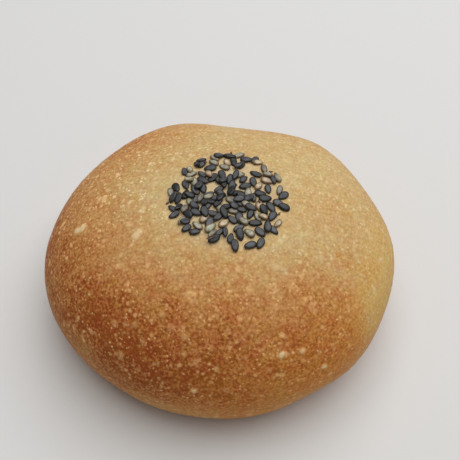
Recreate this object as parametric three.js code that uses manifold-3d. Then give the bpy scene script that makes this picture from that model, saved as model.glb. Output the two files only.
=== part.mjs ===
// A bread roll: a hand-shaped round bun, a little oval, with a patch of sesame seeds on its crown.
// It is one piece, baked whole and uncut, and it stands on its flat foot.
// Millimetres, +Z up, +X along the longer side. The origin is on the table, under the roll's middle.

import * as THREE from 'three';
import { mergeVertices } from 'three/addons/utils/BufferGeometryUtils.js';
import Module from 'manifold-3d';

const wasm = await Module();
wasm.setup();

// The bun
const HALF_LENGTH = 49; // from the middle to the shoulder, the widest line, along X
const HALF_WIDTH = 44.3; // the same along Y
const HEIGHT = 44;
const SHOULDER = 0.38 * HEIGHT; // height of the widest line
const FOOT_SHARE = 0.85; // radius of the flat foot, as a share of the shoulder's
const CROWN_FULLNESS = 2.2; // 2 is an ellipse, more is fuller above the shoulder
const STEPS_ROUND = 72; // round the shoulder, a multiple of 8
const RINGS_BELOW = 5; // between the foot and the shoulder
const RINGS_ABOVE = 4; // between the shoulder and the crown's even mesh
const CROWN_FROM = 0.3; // where that mesh starts, from 0 at the shoulder to 1 at the top

// Where the dough spread out or drew in: degrees round from +X, how far up from the foot's edge (-1)
// through the shoulder (0) to the crown (1), how far the pull reaches, and how far it goes outwards
const PULLS = [
  { at: 24, up: 0.1, reach: 26, out: -2.2 },
  { at: 81, up: 0.25, reach: 25, out: -2.9 },
  { at: 114, up: 0.25, reach: 24, out: 1.2 },
  { at: 195, up: -0.1, reach: 32, out: 1.1 },
  { at: 300, up: -0.4, reach: 15, out: -1.1 },
  { at: 342, up: -0.2, reach: 30, out: -1.8 },
];

// The larger blisters in the crust: degrees round and how far up, as above, then length, width, and
// the turn of the length from level, in degrees
const BLISTERS = [
  { at: 184, up: 0.48, length: 3.8, width: 2.1, turn: -84 },
  { at: 202, up: 0.72, length: 3.3, width: 1.9, turn: -64 },
  { at: 170, up: 0.58, length: 2.2, width: 1.9, turn: -44 },
  { at: 193, up: 0.7, length: 1.5, width: 1.2, turn: -80 },
  { at: 290, up: 0.38, length: 1.8, width: 1.4, turn: 12 },
  { at: 297, up: 0.36, length: 1.7, width: 1.3, turn: 72 },
  { at: 237, up: 0.28, length: 2.4, width: 1.1, turn: -84 },
  { at: 262, up: 0.21, length: 1.8, width: 1.2, turn: 22 },
  { at: 245, up: 0.55, length: 1.5, width: 1.2, turn: 20 },
  { at: 302, up: 0.21, length: 1.6, width: 1.2, turn: -34 },
];
const BLISTER_RISE = 0.35;
const BLISTER_SIDES = 8;

// The seeds
const SEED_LENGTH = 3.1;
const SEED_WIDTH = 1.8;
const SEED_THICKNESS = 1;
const SEED_POINT = 0.2; // how much slimmer the pointed end is than the round one
const SEED_SIDES = 5;
const SEED_RINGS = [-0.68, 0, 0.66]; // places along the half length, the pointed end at 1
const SEED_SIZE_SPREAD = 0.12; // share by which lengths and widths differ either way
const SEED_SINK = 0.18; // how deep a seed is pressed into the crust
const SEED_COUNT = 136;

// The patch of seeds, a disc with an uneven edge: its middle, its radius to the outermost seeds'
// middles, and the spots that stayed bare
const PATCH = { x: 1.2, y: 2.2, radius: 14.5 };
const PATCH_WAVES = [
  { count: 1, share: 0.04, at: -60 },
  { count: 2, share: 0.015, at: -20 },
  { count: 3, share: 0.03, at: -60 },
];
const BARE_SPOTS = [
  { x: 2.2, y: 10, radius: 2 },
  { x: 8.2, y: 11.2, radius: 1.8 },
  { x: 12.8, y: 10.4, radius: 1.3 },
  { x: -10.9, y: 8, radius: 2 },
  { x: -3, y: 5.2, radius: 1.5 },
  { x: 8.9, y: 7.3, radius: 1.1 },
  { x: 13.4, y: 6, radius: 1.3 },
  { x: 15.2, y: -3.2, radius: 1.2 },
  { x: 7, y: -7.6, radius: 1 },
  { x: -5.2, y: -9.6, radius: 1.2 },
  { x: -0.6, y: -12.2, radius: 2 },
  { x: 10.9, y: -10.2, radius: 1 },
  { x: 12.4, y: 14, radius: 2.2 },
];

// How a seed comes to lie: it is laid at the best of some places, leaning on the seeds below it
const SPOTS_TRIED = 8;
const MIDDLE_PULL = 0.4; // height that makes a place as poor as lying at the patch's edge does
const STEEPEST = 0.6; // the most that it leans or rolls, as rise over run
const SLOPE_STEPS = 6; // steps to that, either way
const SLOPE_COST = 0.2; // height that it rather stays up by than lean at a slope of 1
const WOBBLE = 0.09; // largest further slope
const NEAR = 1.3 * SEED_LENGTH; // between the middles of seeds that may touch

// Where it touches what lies below it, as shares of its half length and of its half width there
const FEELERS = [
  [0, 0], [0.5, 0], [-0.5, 0], [0.85, 0], [-0.85, 0], [0, 0.75], [0, -0.75],
  [0.5, 0.6], [0.5, -0.6], [-0.5, 0.6], [-0.5, -0.6],
];
const FIRST_DRAW = 402; // where the draws for the seeds start

const FULL_TURN = 2 * Math.PI;
const radians = THREE.MathUtils.degToRad;

// Smooth falloff from 1 at 0 to 0 at 1 and past it
function falloff(share) {
  const left = Math.max(0, 1 - share);
  return left * left * (3 - 2 * left);
}

// Profile of the bun, from -1 at the foot's edge through 0 at the shoulder to 1 at the crown
function profileAt(up) {
  const angle = Math.abs(up) * Math.PI / 2;
  if (up < 0) {
    const share = FOOT_SHARE + (1 - FOOT_SHARE) * Math.cos(angle);
    return { share, height: SHOULDER * (1 - Math.sin(angle)) };
  }
  const share = Math.cos(angle) ** (2 / CROWN_FULLNESS);
  return { share, height: SHOULDER + (HEIGHT - SHOULDER) * Math.sin(angle) };
}

// The point of the even oval bun that many degrees round from +X and that far up
function ovalPoint(at, up) {
  const { share, height } = profileAt(up);
  const x = HALF_LENGTH * share * Math.cos(radians(at));
  const y = HALF_WIDTH * share * Math.sin(radians(at));
  return new THREE.Vector3(x, y, height);
}

// The same point of the crust, where the pulls have taken it
function crustPoint(at, up) {
  const point = ovalPoint(at, up);
  const moved = point.clone();
  for (const pull of PULLS) {
    const outwards = new THREE.Vector3(Math.cos(radians(pull.at)), Math.sin(radians(pull.at)), 0);
    const far = point.distanceTo(ovalPoint(pull.at, pull.up));
    moved.addScaledVector(outwards, pull.out * falloff(far / pull.reach));
  }
  return moved;
}

// A frame on the crust for a piece laid there: x level along it, y up the slope, z out of it
function crustFrame(at, up) {
  const step = 0.01;
  const middle = crustPoint(at, up);
  const level = crustPoint(at + 1, up).sub(middle).normalize();
  const slope = crustPoint(at, up + step).sub(middle).normalize();
  const out = new THREE.Vector3().crossVectors(level, slope).normalize();
  slope.crossVectors(out, level);
  return new THREE.Matrix4().makeBasis(level, slope, out).setPosition(middle);
}

// The crown's point over a place in plan, where no pull reaches
function crownPoint(x, y) {
  const share = Math.hypot(x / HALF_LENGTH, y / HALF_WIDTH);
  const rise = Math.sqrt(1 - share ** CROWN_FULLNESS);
  return new THREE.Vector3(x, y, SHOULDER + (HEIGHT - SHOULDER) * rise);
}

// A frame on the crown over a place in plan, with x turned that far from +X
function crownFrame(x, y, turn) {
  const step = 0.1;
  const middle = crownPoint(x, y);
  const east = crownPoint(x + step, y).sub(middle);
  const north = crownPoint(x, y + step).sub(middle);
  const out = new THREE.Vector3().crossVectors(east, north).normalize();
  const along = new THREE.Vector3(Math.cos(turn), Math.sin(turn), 0);
  const across = new THREE.Vector3().crossVectors(out, along).normalize();
  along.crossVectors(across, out);
  return new THREE.Matrix4().makeBasis(along, across, out).setPosition(middle);
}

function solidOf(geometry) {
  geometry.deleteAttribute('normal');
  geometry.deleteAttribute('uv');
  const merged = mergeVertices(geometry, 1e-4);
  return new wasm.Manifold(new wasm.Mesh({
    numProp: 3,
    vertProperties: new Float32Array(merged.attributes.position.array),
    triVerts: new Uint32Array(merged.index.array),
  }));
}

function geometryOf(solid) {
  const { vertProperties, triVerts } = solid.getMesh();
  const geometry = new THREE.BufferGeometry();
  geometry.setAttribute('position', new THREE.BufferAttribute(vertProperties, 3));
  geometry.setIndex(new THREE.BufferAttribute(triVerts, 1));
  geometry.computeVertexNormals();
  return geometry;
}

// How far round a point lies on its square, in degrees from +X, with equal steps along each side
function degreesOnSquare(x, y) {
  if (x === 0 && y === 0) {
    return 0;
  }
  if (Math.abs(x) >= Math.abs(y)) {
    return (x > 0 ? 0 : 180) + 45 * y / x;
  }
  return (y > 0 ? 90 : 270) - 45 * x / y;
}

// The bun: a block's top becomes the crown, its sides the flank, and its bottom the flat foot
function bunSolid() {
  const side = STEPS_ROUND / 4;
  const bun = new THREE.BoxGeometry(2, 2, 2, side, side, RINGS_BELOW + RINGS_ABOVE);
  const places = bun.attributes.position;
  for (let i = 0; i < places.count; i += 1) {
    const [x, y, z] = [places.getX(i), places.getY(i), places.getZ(i)];
    const at = degreesOnSquare(x, y);
    const ring = Math.max(Math.abs(x), Math.abs(y)); // 0 at the middle of the top and bottom
    const level = Math.round((z + 1) / 2 * (RINGS_BELOW + RINGS_ABOVE)) - RINGS_BELOW;
    const onFlank = level < 0 ? level / RINGS_BELOW : CROWN_FROM * level / RINGS_ABOVE;
    const up = z > 0 && level === RINGS_ABOVE ? 1 - (1 - CROWN_FROM) * ring : onFlank;
    const place = crustPoint(at, up);
    const inward = level === -RINGS_BELOW ? ring : 1;
    places.setXYZ(i, place.x * inward, place.y * inward, place.z);
  }
  return solidOf(bun);
}

// A blister: a low bubble, an ellipsoid sunk into the crust to leave its cap
function blisterSolid({ at, up, length, width, turn }) {
  const blister = new THREE.SphereGeometry(1, BLISTER_SIDES, BLISTER_SIDES / 2);
  blister.rotateX(Math.PI / 2);
  blister.scale(length / 2, width / 2, BLISTER_RISE);
  blister.rotateZ(radians(turn));
  blister.applyMatrix4(crustFrame(at, up));
  return solidOf(blister);
}

// Half width of a seed, as a share, from -1 at its round end to 1 at its pointed one
function slimness(end) {
  return (1 - SEED_POINT * end) * Math.sqrt(1 - end * end);
}

// A seed: a flattened teardrop that lies along x
function seedSolid({ x, y, turn, lean, roll, lift, size }) {
  const profile = [new THREE.Vector2(0, -1)];
  for (const end of SEED_RINGS) {
    profile.push(new THREE.Vector2(slimness(end), end));
  }
  profile.push(new THREE.Vector2(0, 1));
  const seed = new THREE.LatheGeometry(profile, SEED_SIDES, Math.PI / SEED_SIDES);
  seed.rotateZ(-Math.PI / 2);
  seed.scale(size * SEED_LENGTH / 2, size * SEED_WIDTH / 2, SEED_THICKNESS / 2);
  seed.rotateX(Math.atan(roll));
  seed.rotateY(Math.atan(lean));
  seed.translate(0, 0, SEED_THICKNESS / 2 - SEED_SINK + lift);
  seed.applyMatrix4(crownFrame(x, y, turn));
  return solidOf(seed);
}

let drawn = FIRST_DRAW;

// The next of a fixed row of draws between 0 and 1
function draw() {
  drawn = (drawn * 16807) % 2147483647;
  return drawn / 2147483647;
}

// The next draw, between -reach and reach
function drawAbout(reach) {
  return (2 * draw() - 1) * reach;
}

function isInPatch(x, y) {
  const angle = Math.atan2(y - PATCH.y, x - PATCH.x);
  let edge = PATCH.radius;
  for (const { count, share, at } of PATCH_WAVES) {
    edge += PATCH.radius * share * Math.cos(count * (angle - radians(at)));
  }
  const inside = Math.hypot(x - PATCH.x, y - PATCH.y) < edge;
  return inside && BARE_SPOTS.every((spot) => Math.hypot(x - spot.x, y - spot.y) > spot.radius);
}

// Height of a laid seed's top above the crust over a place in plan, or 0 beside it
function topOf(seed, x, y) {
  const awayX = x - seed.x;
  const awayY = y - seed.y;
  const along = awayX * Math.cos(seed.turn) + awayY * Math.sin(seed.turn);
  const across = awayY * Math.cos(seed.turn) - awayX * Math.sin(seed.turn);
  const end = along / (seed.size * SEED_LENGTH / 2);
  if (Math.abs(end) >= 1) {
    return 0;
  }
  const slim = 1 - SEED_POINT * end;
  const side = across / (seed.size * SEED_WIDTH / 2 * slim);
  const inside = 1 - end * end - side * side;
  if (inside <= 0) {
    return 0;
  }
  const middle = seed.lift + SEED_THICKNESS / 2 - SEED_SINK;
  const slope = across * seed.roll - along * seed.lean;
  return middle + slope + SEED_THICKNESS / 2 * slim * Math.sqrt(inside);
}

// Where a level seed's underside is over what lies below it: along and across it, and how far too low
function feelersOf(seed, laid) {
  const near = laid.filter((other) => Math.hypot(seed.x - other.x, seed.y - other.y) < NEAR);
  return FEELERS.map(([end, side]) => {
    const along = end * seed.size * SEED_LENGTH / 2;
    const across = side * slimness(end) * seed.size * SEED_WIDTH / 2;
    const x = seed.x + along * Math.cos(seed.turn) - across * Math.sin(seed.turn);
    const y = seed.y + along * Math.sin(seed.turn) + across * Math.cos(seed.turn);
    const below = Math.max(...near.map((other) => topOf(other, x, y)), 0);
    const rounded = 1 - slimness(end) * Math.sqrt(1 - side * side);
    return { along, across, low: below - SEED_THICKNESS / 2 * rounded };
  });
}

// Leans a seed on what lies below it, so that its middle comes as low as it can. Returns the cost of it.
function settle(seed, laid) {
  const feelers = feelersOf(seed, laid);
  const liftAt = (lean, roll) => Math.max(
    ...feelers.map(({ along, across, low }) => low + along * lean - across * roll),
  );
  Object.assign(seed, { lean: 0, roll: 0, lift: liftAt(0, 0) });
  let least = seed.lift;
  if (least <= 0) {
    return least;
  }
  for (let i = -SLOPE_STEPS; i <= SLOPE_STEPS; i += 1) {
    for (let k = -SLOPE_STEPS; k <= SLOPE_STEPS; k += 1) {
      const lean = STEEPEST * i / SLOPE_STEPS;
      const roll = STEEPEST * k / SLOPE_STEPS;
      const lift = liftAt(lean, roll);
      const cost = lift + SLOPE_COST * (lean * lean + roll * roll);
      if (cost < least) {
        least = cost;
        Object.assign(seed, { lean, roll, lift });
      }
    }
  }
  return least;
}

// Where each seed lies
function scatteredSeeds() {
  const laid = [];
  while (laid.length < SEED_COUNT) {
    let best = null;
    let least = Infinity;
    for (let i = 0; i < SPOTS_TRIED; i += 1) {
      let [x, y] = [Infinity, Infinity];
      while (!isInPatch(x, y)) {
        x = PATCH.x + drawAbout(1.2 * PATCH.radius);
        y = PATCH.y + drawAbout(1.2 * PATCH.radius);
      }
      const seed = { x, y, turn: draw() * FULL_TURN, size: 1 + drawAbout(SEED_SIZE_SPREAD) };
      const far = Math.hypot(x - PATCH.x, y - PATCH.y) / PATCH.radius;
      const cost = settle(seed, laid) + MIDDLE_PULL * far;
      if (cost < least) {
        best = seed;
        least = cost;
      }
    }
    best.lean += drawAbout(WOBBLE);
    best.roll += drawAbout(WOBBLE);
    laid.push(best);
  }
  return laid;
}

// The largest body of a solid, which leaves out loose scraps and fills hollows
function wholeBody(solid) {
  const bodies = solid.decompose();
  return bodies.reduce((largest, body) => (body.volume() > largest.volume() ? body : largest));
}

function bakedMaterial() {
  return new THREE.MeshStandardMaterial({ color: 0xc08a4e, roughness: 0.6, metalness: 0 });
}

// The whole roll: the bun with its blisters and seeds fused on, its box centred over the origin
function breadRoll() {
  const added = [...BLISTERS.map(blisterSolid), ...scatteredSeeds().map(seedSolid)];
  const fused = added.reduce((roll, piece) => roll.add(piece), bunSolid());
  const geometry = geometryOf(wholeBody(fused));
  geometry.computeBoundingBox();
  const middle = geometry.boundingBox.getCenter(new THREE.Vector3());
  geometry.translate(-middle.x, -middle.y, 0);
  const mesh = new THREE.Mesh(geometry, bakedMaterial());
  mesh.name = 'bread_roll';
  return mesh;
}

const group = new THREE.Group();
group.add(breadRoll());

export default group;
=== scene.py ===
import math
from types import SimpleNamespace

import bpy
import numpy as np
from mathutils import Matrix, Vector
from mathutils.kdtree import KDTree


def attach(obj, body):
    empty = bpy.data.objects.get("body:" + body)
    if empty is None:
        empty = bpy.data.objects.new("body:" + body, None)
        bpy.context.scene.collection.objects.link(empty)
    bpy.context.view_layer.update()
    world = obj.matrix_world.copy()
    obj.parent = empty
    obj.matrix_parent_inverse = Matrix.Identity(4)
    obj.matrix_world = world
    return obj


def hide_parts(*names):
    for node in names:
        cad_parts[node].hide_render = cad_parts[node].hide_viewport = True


bl_info = {
    "name": "Bread roll",
    "version": (1, 0, 0),
    "blender": (4, 5, 0),
    "location": "3D View > Sidebar > Bread roll",
    "description": "A round, slightly oval bread roll with a browned crust and a patch of sesame seeds",
    "category": "Add Mesh",
}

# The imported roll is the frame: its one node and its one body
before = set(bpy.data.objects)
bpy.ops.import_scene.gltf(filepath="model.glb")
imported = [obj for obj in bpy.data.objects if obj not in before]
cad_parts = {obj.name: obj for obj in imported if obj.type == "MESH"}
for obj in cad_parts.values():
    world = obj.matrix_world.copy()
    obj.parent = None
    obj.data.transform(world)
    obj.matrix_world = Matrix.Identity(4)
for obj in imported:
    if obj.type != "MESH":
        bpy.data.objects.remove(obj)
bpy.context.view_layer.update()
NODE = "bread_roll"
BODY = "root"
MM = 0.001  # a millimetre in metres, Blender's unit

# The bun's form

# Where the dough spread out or drew in: degrees round from +X, how far up from the foot's edge (-1)
# through the shoulder (0) to the crown (1), how far the pull reaches, and how far it goes outwards, in mm
PULLS = [
    {"at": 24, "up": 0.1, "reach": 26, "out": -2.2},
    {"at": 81, "up": 0.25, "reach": 25, "out": -2.9},
    {"at": 114, "up": 0.25, "reach": 24, "out": 1.2},
    {"at": 195, "up": -0.1, "reach": 32, "out": 1.1},
    {"at": 300, "up": -0.4, "reach": 15, "out": -1.1},
    {"at": 342, "up": -0.2, "reach": 30, "out": -1.8},
]
RINGS_BELOW = 10  # from the foot's edge to the shoulder, before the crust gets its even mesh
RINGS_ABOVE = 20  # from the shoulder to the top of the crown
STEPS_ROUND = 120
SAME_PLACE = 0.001  # mm between points that are merged into one

# The crust's dimples: the size of each kind in mm, and its depth as a share of the broad ones'
DIMPLES = [
    {"name": "broad dimples", "size": 14, "depth": 1},
    {"name": "small dimples", "size": 3, "depth": 0.25},
]
DIMPLES_SINK = 0.75  # share of their depth that lies below the even crust, while the rest swells over it

# The larger blisters in the crust: degrees round and how far up, as above, then length and width in mm,
# the turn of the length from level, in degrees, and how white the blister is
BLISTERS = [
    {"at": 184, "up": 0.48, "length": 3.8, "width": 2.1, "turn": -84, "white": 0.85},
    {"at": 202, "up": 0.72, "length": 3.3, "width": 1.9, "turn": -64, "white": 0.75},
    {"at": 170, "up": 0.58, "length": 2.2, "width": 1.9, "turn": -44, "white": 0.65},
    {"at": 193, "up": 0.7, "length": 1.5, "width": 1.2, "turn": -80, "white": 0.6},
    {"at": 290, "up": 0.38, "length": 1.8, "width": 1.4, "turn": 12, "white": 1},
    {"at": 297, "up": 0.36, "length": 1.7, "width": 1.3, "turn": 72, "white": 0.75},
    {"at": 237, "up": 0.28, "length": 2.4, "width": 1.1, "turn": -84, "white": 0.6},
    {"at": 262, "up": 0.21, "length": 1.8, "width": 1.2, "turn": 22, "white": 0.8},
    {"at": 245, "up": 0.55, "length": 1.5, "width": 1.2, "turn": 20, "white": 0.4},
    {"at": 302, "up": 0.21, "length": 1.6, "width": 1.2, "turn": -34, "white": 0.9},
]

# Smaller pale spots that stand out in the crust: their size across in mm, how white they are, and the
# place of each, degrees round and how far up
PALE_DOTS = [
    {"across": 0.9, "white": 0.75, "places": [
        (307, 0.28), (214, 0.42), (287, 0.63), (252, 0.22), (257, 0.41), (334, 0.33), (238, 0.21),
    ]},
    {"across": 1.6, "white": 0.4, "places": [
        (217, 0.28), (230, 0.41), (237, 0.46), (252, 0.65), (250, 0.51), (256, 0.48), (285, 0.68),
        (306, 0.63), (307, 0.52), (305, 0.72), (156, 0.77), (227, 0.66), (164, 0.47),
    ]},
]

# A fine wrinkle: its ends, degrees round and how far up, how much farther up its middle bows, its width
# in mm and how white it is
WRINKLE = {"from": (278, 0.5), "to": (296, 0.575), "bow": 0.02, "width": 1.1, "white": 0.3}
WRINKLE_STEPS = 24

# The pimples, the small blisters all over the crust: reach and rise in mm, how many, and how white
PIMPLES = [
    {"reach": 0.75, "rise": 0.06, "count": 500, "white": 0.35},
    {"reach": 1.0, "rise": 0.09, "count": 130, "white": 0.5},
]
PIMPLES_FROM = -0.4  # how far up the lowest ones lie
BUMP_REACH = 0.75  # how far round its middle a blister or a pale spot rises, as a share of its width
WHITE_SOONER = 1.6  # how many times as fast as they rise these two turn white
LOW_RISE = 1 / 3  # how high the pale spots and the wrinkle rise, as a share of the blisters' height

# The crust's looks

# The sides that got the most heat: degrees round from +X and above level, the cosine of how far round
# each reaches, and how much more it is baked in its middle
BAKED_SIDES = [
    {"at": 280, "above": 30, "reach": 0.66, "more": 0.63},
    {"at": 207, "above": 15, "reach": 0.42, "more": 0.64},
    {"at": 75, "above": -20, "reach": 0.3, "more": 0.35},
    {"at": 135, "above": -25, "reach": 0.3, "more": 0.5},
    {"at": 15, "above": -40, "reach": 0.3, "more": 0.45},
]
BAKED_ALL_OVER = 0.135  # how far baked the crust is away from these sides
BAKED_STOPS = (0, 0.27, 0.52, 0.76, 1)  # how far baked the crust is where it has each of its five colours

# Spots that are browner or paler than the crust round them: degrees round, how far up, reach in mm, and
# how much more they are baked
BAKED_SPOTS = [
    (336, 0.58, 1.3, 0.5), (339, 0.38, 8, 0.3), (337, 0.54, 5, 0.13), (128, 0.46, 22, 0.4),
    (222, 0.37, 17, 0.28), (206, 0.48, 9, 0.08), (219, 0.6, 8, 0.1), (210, 0.57, 10, -0.15),
    (273, 0.17, 8, 0.22), (234, 0.32, 7, 0.15), (310, 0.45, 11, 0.1), (20, 0.62, 18, -0.14),
    (348, 0.42, 12, -0.12), (5, 0.66, 13, 0.18), (178, 0.45, 10, -0.15), (180, 0.78, 16, -0.1),
    (308, 0.77, 9, -0.12), (336, 0.2, 13, -0.55), (240, 0.2, 14, 0.1), (300, 0.22, 14, 0.1),
    (247, 0.59, 5, 0.2), (160, 0.56, 16, 0.14), (100, 0.56, 12, 0.12), (145, 0.62, 10, -0.08),
    (340, 0.47, 16, 0.08), (222, 0.09, 11, -0.24), (267, 0.45, 5, 0.15), (260, 0.61, 5, -0.14),
    (267, 0.57, 4, 0.1), (302, 0.7, 6, -0.12), (236, 0.58, 6, -0.1), (232, 0.66, 6, 0.1),
    (269, 0.35, 6, 0.13), (273, 0.52, 4, 0.08), (261, 0.24, 6, 0.16), (314, 0.26, 8, 0.14),
    (314, 0.65, 6, 0.09), (292, 0, 11, -0.26), (245, 0.77, 9, 0.1), (298, 0.56, 6, -0.1),
    (308, 0.56, 5, 0.1), (287, 0.28, 6, 0.13), (293, 0.43, 5, 0.16), (322, 0.4, 7, 0.13),
]

# The sides where the crust is honey coloured, with a painted warm glow, the side where it is straw coloured
# and painted lighter as if more light fell on it, and the side where more specks show
HONEY_AND_GLOW_SIDES = [
    {"at": 305, "above": -15, "reach": 0.36, "more": 0.55},
    {"at": 0, "above": 15, "reach": 0.5, "more": 0.08},
]
# The straw side is partly pale crust and partly painted light: it is made lighter as if more light fell on it
STRAW_AND_PAINTED_LIGHT_SIDE = {"at": 343, "above": 20, "reach": 0.87, "more": 0.5}
SPECKLED_SIDE = {"at": 148, "above": 38, "reach": 0.65, "more": 0.8}

# The patterns in the crust: the size of their blobs in mm, and how much they change it in all
BROAD = {"size": 12, "baking": 0.4, "ring": 1.2}
SMALL = {"size": 2.4, "baking": 0.5, "roughness": 0.2}
GRAIN = {"size": 0.7, "baking": 1.1}
TINTS = {"size": 2.8, "hue": 0.03}
SAME_HUE = 0.5  # what leaves a hue as it is
# How plainly grain and specks show on the palest crust, and how much more plainly on the darkest
CONTRAST = {"pale": 0.68, "more": 0.35}

# The specks, fine, medium and large: mm from one to the next, the radius of the largest as a share of
# that, the share of places that have one, and how strongly they show
SPECKS = [
    {"spacing": 0.9, "radius": 0.5, "share": 0.4, "strength": 0.76},
    {"spacing": 1.5, "radius": 0.52, "share": 0.55, "strength": 0.48},
    {"spacing": 2.6, "radius": 0.42, "share": 0.4, "strength": 0.52},
]
SPECK_LEAST = 0.4  # radius of the smallest speck of a kind, as a share of the largest one's
SPECK_CORE = 0.35  # share of a speck's radius over which it shows fully
SPECK_BEND = 0.6  # mm by which their outlines are bent, and size of the bends
SPECK_TURN = (0.15, 0.6)  # how far baked the crust is where specks turn from whitish to golden
# The places where specks crowd: their size in mm, the values of their noise where they set in and where
# they are full, and how strongly specks show outside them and inside
CROWDS = {"size": 4, "from": 0.35, "to": 0.65, "least": 0.5, "most": 1.3}

SHADED_SHARE = 0.6  # how much of its own colour the crust between the seeds loses
WHITE_SHARE = 0.9  # the same for the whitest blister
WHITE_TURN = (0.5, 0.85)  # how white a blister is where it turns from a speck's colour to its own
RIM_TURN = (22, 6)  # mm above the foot where the rim's colour sets in, and where it is full
FOOT_TURN = (1.2, 0.3)  # the same for the foot's colour
RIM_SHARE = 0.6  # how much of its own colour the crust loses to the rim's
FOOT_RING = (0.5, 0.82)  # share of the way out where the foot's browner ring sets in, and where it is full
RING_MIDDLE = 0.7  # how strong the ring is where the broad pattern doesn't change it
# The relief that specks and grain give the crust: depth in mm, how much deeper the grain is, and how
# strongly it shows
CRUST_RELIEF = {"depth": 0.05, "grain": 2.0, "strength": 0.5}

# The seeds

# Their patch, a disc with an uneven edge: its middle, its radius to the outermost seeds' middles, and
# the spots that stayed bare, in mm
PATCH = {"x": 1.2, "y": 2.2, "radius": 14.5}
PATCH_WAVES = [
    {"count": 1, "share": 0.04, "at": -60},
    {"count": 2, "share": 0.015, "at": -20},
    {"count": 3, "share": 0.03, "at": -60},
]
BARE_SPOTS = [
    {"x": 2.2, "y": 10, "radius": 2},
    {"x": 8.2, "y": 11.2, "radius": 1.8},
    {"x": 12.8, "y": 10.4, "radius": 1.3},
    {"x": -10.9, "y": 8, "radius": 2},
    {"x": -3, "y": 5.2, "radius": 1.5},
    {"x": 8.9, "y": 7.3, "radius": 1.1},
    {"x": 13.4, "y": 6, "radius": 1.3},
    {"x": 15.2, "y": -3.2, "radius": 1.2},
    {"x": 7, "y": -7.6, "radius": 1},
    {"x": -5.2, "y": -9.6, "radius": 1.2},
    {"x": -0.6, "y": -12.2, "radius": 2},
    {"x": 10.9, "y": -10.2, "radius": 1},
    {"x": 12.4, "y": 14, "radius": 2.2},
]
PATCH_DENT = {"reach": 28, "depth": 0.13}  # how far and how deep the seeds pressed the crust in, in mm
SHADED_PAST = 2  # mm past the patch's radius to which its seeds shaded the crust in the oven
SHADED_ABOVE = 20  # mm above the foot from which the crust counts as crown
SEED_COUNT = 136
SPOTS_TRIED = 8  # places tried for each seed, of which the best is kept: low, and near the middle
PATCH_THROW = 1.2  # how far from the patch's middle they are tried, as a share of its radius
MIDDLE_PULL = 0.4  # height in mm that makes a place as poor as lying at the patch's edge does
SEED_SLOPES = [step / 10 for step in range(-6, 7)]  # leans and rolls that a seed may rest at, as slopes
SEED_SLOPE_COST = 0.2  # height in mm that a seed rather stays up by than lean at a slope of 1
SEED_WOBBLE = 0.09  # largest further slope of a seed
SEED_SIZE_SPREAD = 0.12  # share by which lengths and widths differ either way
SEED_NEAR = 1.3  # lengths between the middles of seeds that may touch
SEED_DROP = 0.06  # mm that the seeds lie lower than in the solid, as they are rounder
FIRST_DRAW = 402  # where the draws start
# Where a seed touches what lies below it, as shares of its half length and of its half width there
FEELERS = [
    (0, 0), (0.5, 0), (-0.5, 0), (0.85, 0), (-0.85, 0), (0, 0.75), (0, -0.75),
    (0.5, 0.6), (0.5, -0.6), (-0.5, 0.6), (-0.5, -0.6),
]
# Forms of seeds: plumpness, bend and how domed the top is
SEED_FORMS = [(1, 0, 0.5), (0.88, 0.12, -0.5), (1.08, -0.08, 0.3), (1.02, 0.05, -0.9)]
SEED_TOP = 0.72  # height of the rim round its top, as a share of its half thickness
TONE_SPREAD = {"black": 1.5, "grey": 1.3, "pale": 0.6}  # share by which the tones of each kind differ
# Seeds that aren't black: unripe greyish ones, light and dark, and ones without a husk. Their tone runs
# from 0, dark, to 1, light, and their places are in mm
ODD_SEEDS = [
    {"kind": "grey", "tone": 0.75, "places": [
        (-3.7, 15.9), (-2.1, 15.1), (-7.9, 11.4), (-7.3, 9.7), (-0.1, 10.5), (-8.2, 7.5),
        (-7.3, 6.1), (-3.7, 1.9), (-8.4, 0.8), (3.5, 15.7), (11.3, 9.6), (7.5, 2.9),
        (-10.2, -4.1), (-6.3, -6.4), (-4.3, -7.2), (-2.2, -8.4), (6.4, -5.2), (7.5, -9.4),
    ]},
    {"kind": "grey", "tone": 0.45, "places": [
        (-2.1, 12.7), (-13.2, 2.4), (-5.7, 1), (5, 9.4), (10.1, 10.1), (14, 8.1), (14.6, 4),
        (5.7, -0.1), (2.3, 0.3), (-8.9, -1.5), (-0.7, -3), (2.9, -2.8), (8.5, -3.2),
    ]},
    {"kind": "pale", "tone": 0.5, "places": [
        (0.2, 12.8), (10.4, 13.5), (11.4, 7.2), (9.6, 5.5), (0.3, -5.8), (8.2, -1),
        (10.8, -5.1), (14.1, -5.4), (-3, 8.6), (-4.5, -4.8),
    ]},
]
TONE_WOBBLE = 0.22  # how far the tone of such a seed may differ either way
# Broken bits of husk: place and length in mm, turn in degrees, and width as a share of the length
SEED_BITS = [
    {"x": -3.4, "y": -10.7, "length": 2.4, "turn": 25, "slim": 0.3},
    {"x": -13.8, "y": 0.2, "length": 0.9, "turn": 70, "slim": 0.8},
    {"x": 2.1, "y": 16.7, "length": 1.1, "turn": 80, "slim": 0.6},
    {"x": 13.7, "y": -3.1, "length": 1.3, "turn": 55, "slim": 0.4},
    {"x": 9.3, "y": -0.1, "length": 1.0, "turn": 130, "slim": 0.6},
    {"x": 11.9, "y": 9.6, "length": 1.2, "turn": 15, "slim": 0.5},
    {"x": -4.6, "y": 12.7, "length": 0.9, "turn": 40, "slim": 0.7},
    {"x": 3.6, "y": 5.6, "length": 0.9, "turn": 160, "slim": 0.6},
]
BIT_THICKNESS = 0.5  # as a share of a seed's
BIT_HEIGHT = 0.12  # mm from what a bit lies on up to its middle
BREAK_WAY = (1, 0.4, 0.2)  # the way square to the break
# The husks' blotches: their size in mm, and how much they change the husk's value and roughness in all
BLOTCHES = {"size": 0.9, "value": 2.0, "roughness": 0.3}
HUSK_VALUE = 1.05  # the value and the roughness that the blotches change
HUSK_ROUGHNESS = 0.45
HUSK_HUE = 0.06  # how much the hue differs between the darkest tone and the lightest
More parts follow.
